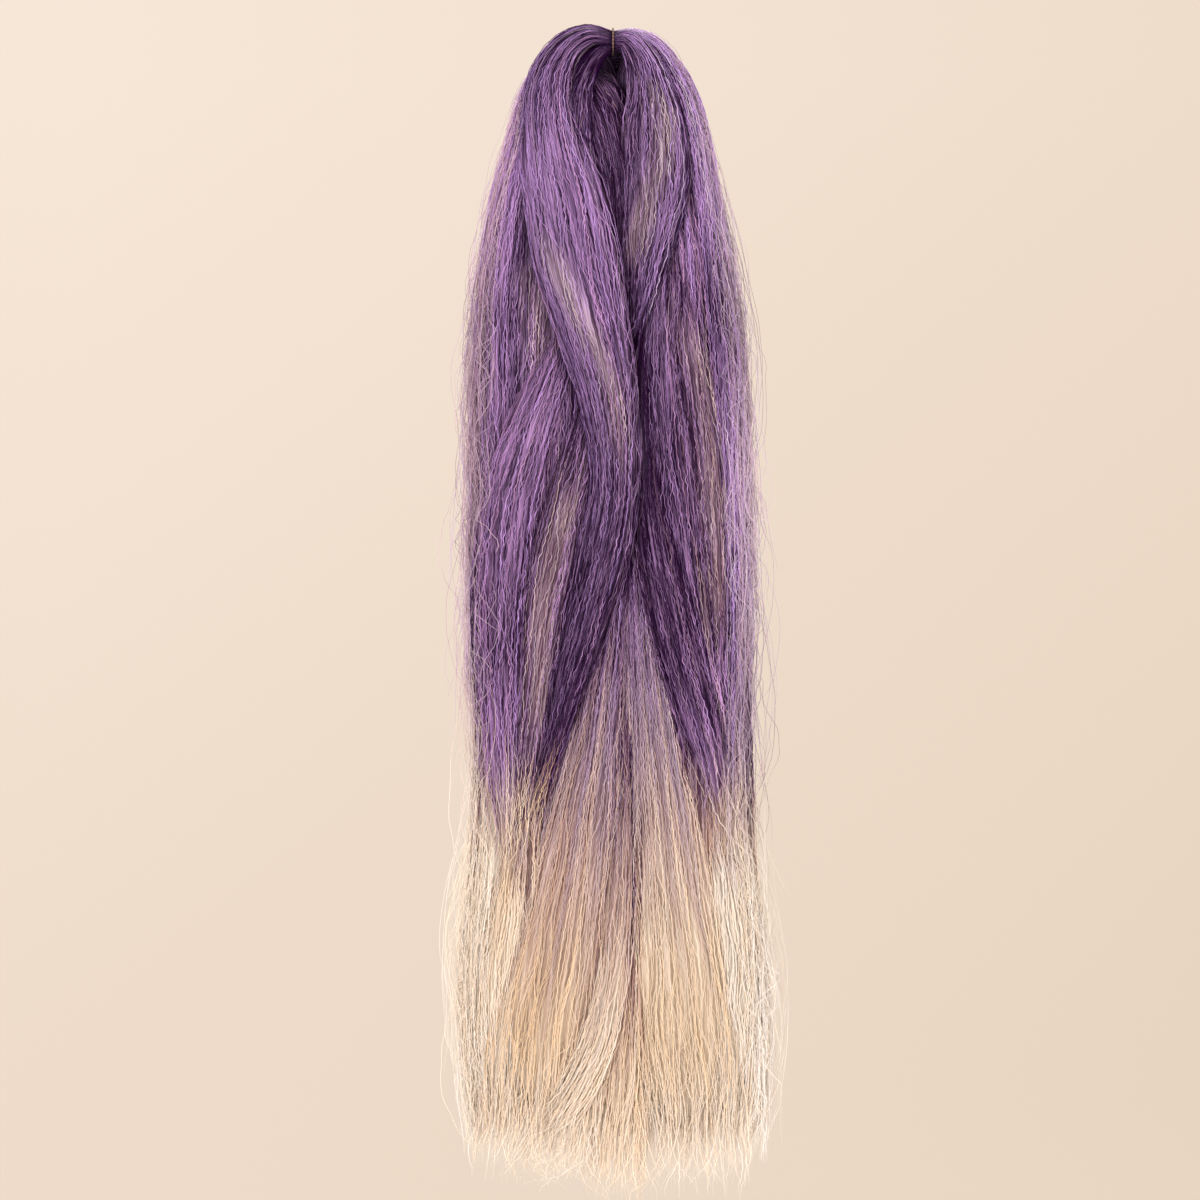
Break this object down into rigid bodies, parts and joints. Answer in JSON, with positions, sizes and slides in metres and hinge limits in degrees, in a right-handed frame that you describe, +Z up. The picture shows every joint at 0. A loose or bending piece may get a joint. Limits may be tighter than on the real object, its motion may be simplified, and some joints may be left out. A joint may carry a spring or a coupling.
{
  "type": "hank of jumbo braiding hair",
  "caption": "Hank of long crimped synthetic braiding hair, folded at its middle and cinched there by a thin elastic tie.",
  "frame": {"origin": "top of the tie, in the middle of the hank's fold, where the hank hangs", "axes": "+Z up along the hanging hair, +X to the right of someone who faces the front, -Y towards them"},
  "size_m": [0.1616, 0.0572, 0.6082],
  "materials": {
    "hair": "crimped modacrylic fibre with a soft sheen, purple from the fold to past the middle and fading to blonde tips",
    "elastic": "thin matt tan elastic cord"
  },
  "bodies": {
    "root": {"left_half": "hair", "right_half": "hair", "tie": "elastic"}
  },
  "joints": []
}
